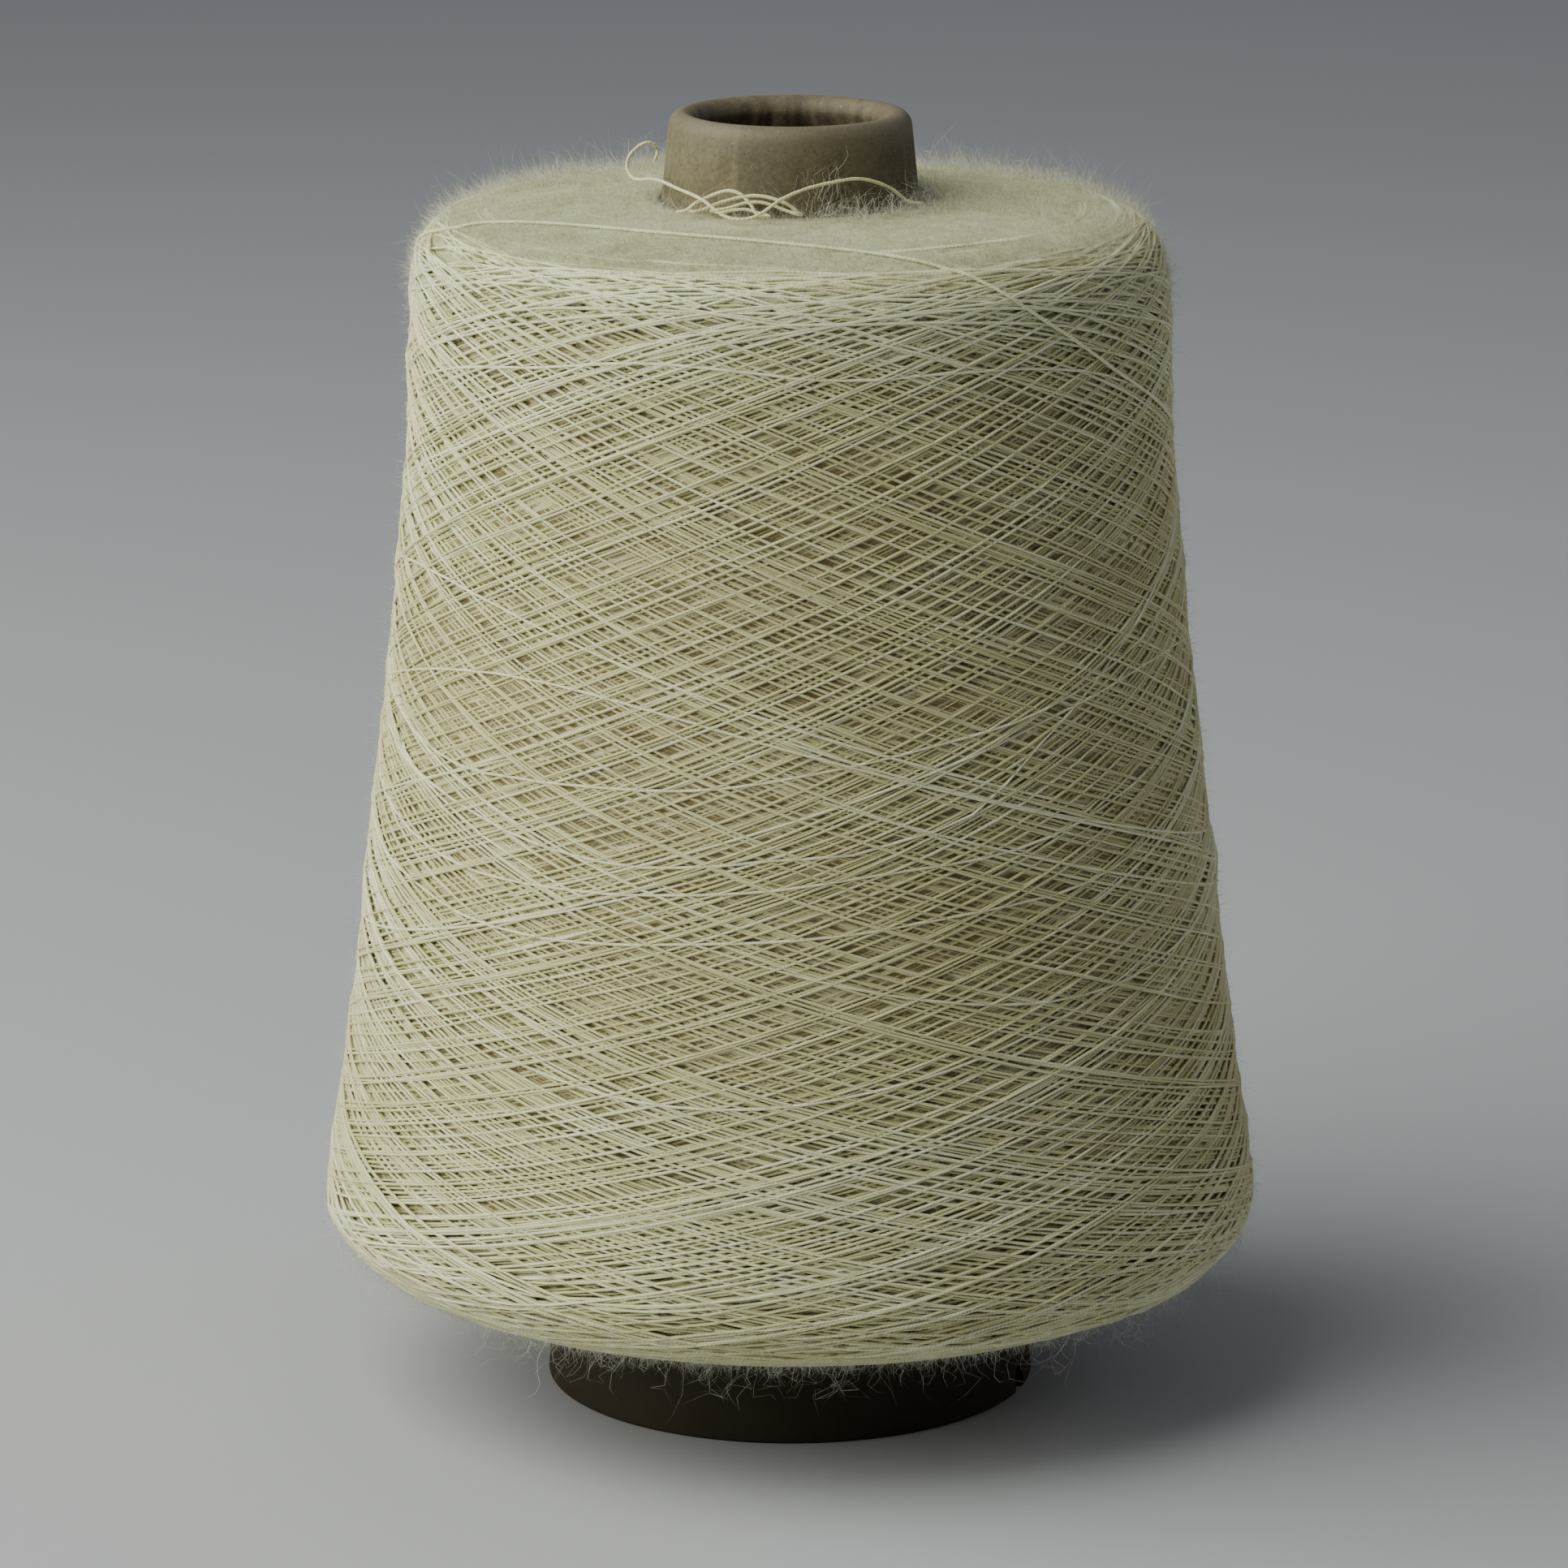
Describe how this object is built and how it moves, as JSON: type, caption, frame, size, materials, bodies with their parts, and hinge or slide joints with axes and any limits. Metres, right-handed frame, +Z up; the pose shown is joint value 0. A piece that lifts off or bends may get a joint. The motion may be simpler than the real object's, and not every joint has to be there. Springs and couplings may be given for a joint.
{
  "type": "cone of yarn",
  "caption": "Conical package of fine cream wool yarn, cross-wound on a tapered paper tube that is open at both ends, with a loose end at its nose.",
  "frame": {"origin": "centre of the paper tube's base, on the surface that the cone stands on", "axes": "+Z up along the tube towards its nose; the front faces -Y, +X to the right seen from the front"},
  "size_m": [0.1236, 0.1236, 0.17],
  "materials": {
    "card": "grey-brown paper board, burnished at the nose",
    "yarn": "undyed cream wool, matt and slightly hairy"
  },
  "bodies": {
    "root": {"paper_cone": "card", "wound_yarn": "yarn", "slipped_turn": "yarn", "loose_end": "yarn", "slack_loops": "yarn"}
  },
  "joints": []
}
